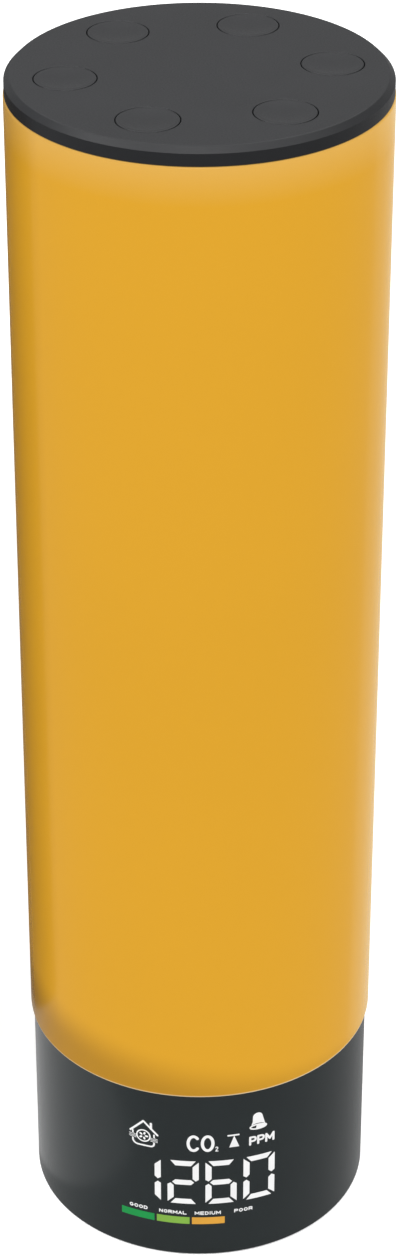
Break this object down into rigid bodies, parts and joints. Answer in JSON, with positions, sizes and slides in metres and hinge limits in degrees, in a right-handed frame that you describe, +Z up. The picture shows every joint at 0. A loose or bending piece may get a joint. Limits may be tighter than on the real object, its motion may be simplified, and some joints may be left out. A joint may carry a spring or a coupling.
{
  "type": "carbon dioxide monitor lamp",
  "caption": "Slim round indoor air quality tower: a lit milky column on a dark base with a gas display, and push buttons in its lid.",
  "frame": {"origin": "on the surface that the tower stands on, at the centre of its footprint", "axes": "+Z up along the tower's axis, the display faces -Y and the power socket faces +Y, +X is to the right of a person reading the display"},
  "size_m": [0.08, 0.08, 0.28],
  "materials": {
    "lid_plastic": "fine satin",
    "button_plastic": "satin",
    "diffuser_plastic": "milky satin, lit amber from inside",
    "base_plastic": "smooth, darkly tinted",
    "inner_plastic": "fine matt",
    "seal_rubber": "matt",
    "mast_aluminium": "plain extruded",
    "circuit_board": "solder mask",
    "led_board": "white solder mask",
    "led_package": "moulded package",
    "chip_plastic": "moulded epoxy",
    "connector_plastic": "moulded nylon",
    "screw_steel": "zinc plated",
    "socket_steel": "nickel plated",
    "capacitor_can": "drawn can",
    "sensor_gold": "gold plated",
    "membrane": "porous white",
    "film": "milky film",
    "cable_sleeve": "soft sleeve"
  },
  "bodies": {
    "root": {"top_cover": "lid_plastic", "diffuser_tube": "diffuser_plastic", "base_shell": "base_plastic", "deck_plate": "inner_plastic", "base_plate": "inner_plastic", "mast_foot": "inner_plastic", "mast_cap": "inner_plastic", "upper_seal": "seal_rubber", "lower_seal": "seal_rubber", "rubber_feet": "seal_rubber", "mast_tube": "mast_aluminium", "button_board": "circuit_board", "main_board": "circuit_board", "co2_sensor_board": "circuit_board", "display_board": "circuit_board", "led_strip_front": "led_board", "led_strip_right": "led_board", "led_strip_back": "led_board", "led_strip_left": "led_board", "led_chips": "led_package", "display_leds": "led_package", "tact_switches": "chip_plastic", "controller_chip": "chip_plastic", "power_inductor": "chip_plastic", "display_driver_chip": "chip_plastic", "alarm_buzzer": "chip_plastic", "usb_socket_tongue": "chip_plastic", "co2_sensor_headers": "chip_plastic", "display_light_box": "chip_plastic", "board_connectors": "connector_plastic", "button_board_connector": "connector_plastic", "button_board_screws": "screw_steel", "mast_screws": "screw_steel", "mast_foot_screws": "screw_steel", "deck_screws": "screw_steel", "base_plate_screws": "screw_steel", "main_board_screws": "screw_steel", "display_screws": "screw_steel", "switch_domes": "screw_steel", "usb_socket_shell": "socket_steel", "power_capacitors": "capacitor_can", "co2_sensor_chamber": "sensor_gold", "co2_sensor_filter": "membrane", "display_film": "film", "button_cable": "cable_sleeve", "led_cable": "cable_sleeve", "strip_jumpers": "cable_sleeve", "display_ribbon": "cable_sleeve"},
    "button_1": {"button_cap_1": "button_plastic", "switch_plunger_1": "chip_plastic"},
    "button_2": {"button_cap_2": "button_plastic", "switch_plunger_2": "chip_plastic"},
    "button_3": {"button_cap_3": "button_plastic", "switch_plunger_3": "chip_plastic"},
    "button_4": {"button_cap_4": "button_plastic", "switch_plunger_4": "chip_plastic"},
    "button_5": {"button_cap_5": "button_plastic", "switch_plunger_5": "chip_plastic"},
    "button_6": {"button_cap_6": "button_plastic", "switch_plunger_6": "chip_plastic"}
  },
  "joints": [
    {"name": "button_1_press", "type": "slide", "parent": "root", "child": "button_1", "axis": [0, 0, -1], "range_m": [0, 0.0006], "stiffness_N_per_m": 2500},
    {"name": "button_2_press", "type": "slide", "parent": "root", "child": "button_2", "axis": [0, 0, -1], "range_m": [0, 0.0006], "stiffness_N_per_m": 2500},
    {"name": "button_3_press", "type": "slide", "parent": "root", "child": "button_3", "axis": [0, 0, -1], "range_m": [0, 0.0006], "stiffness_N_per_m": 2500},
    {"name": "button_4_press", "type": "slide", "parent": "root", "child": "button_4", "axis": [0, 0, -1], "range_m": [0, 0.0006], "stiffness_N_per_m": 2500},
    {"name": "button_5_press", "type": "slide", "parent": "root", "child": "button_5", "axis": [0, 0, -1], "range_m": [0, 0.0006], "stiffness_N_per_m": 2500},
    {"name": "button_6_press", "type": "slide", "parent": "root", "child": "button_6", "axis": [0, 0, -1], "range_m": [0, 0.0006], "stiffness_N_per_m": 2500}
  ]
}
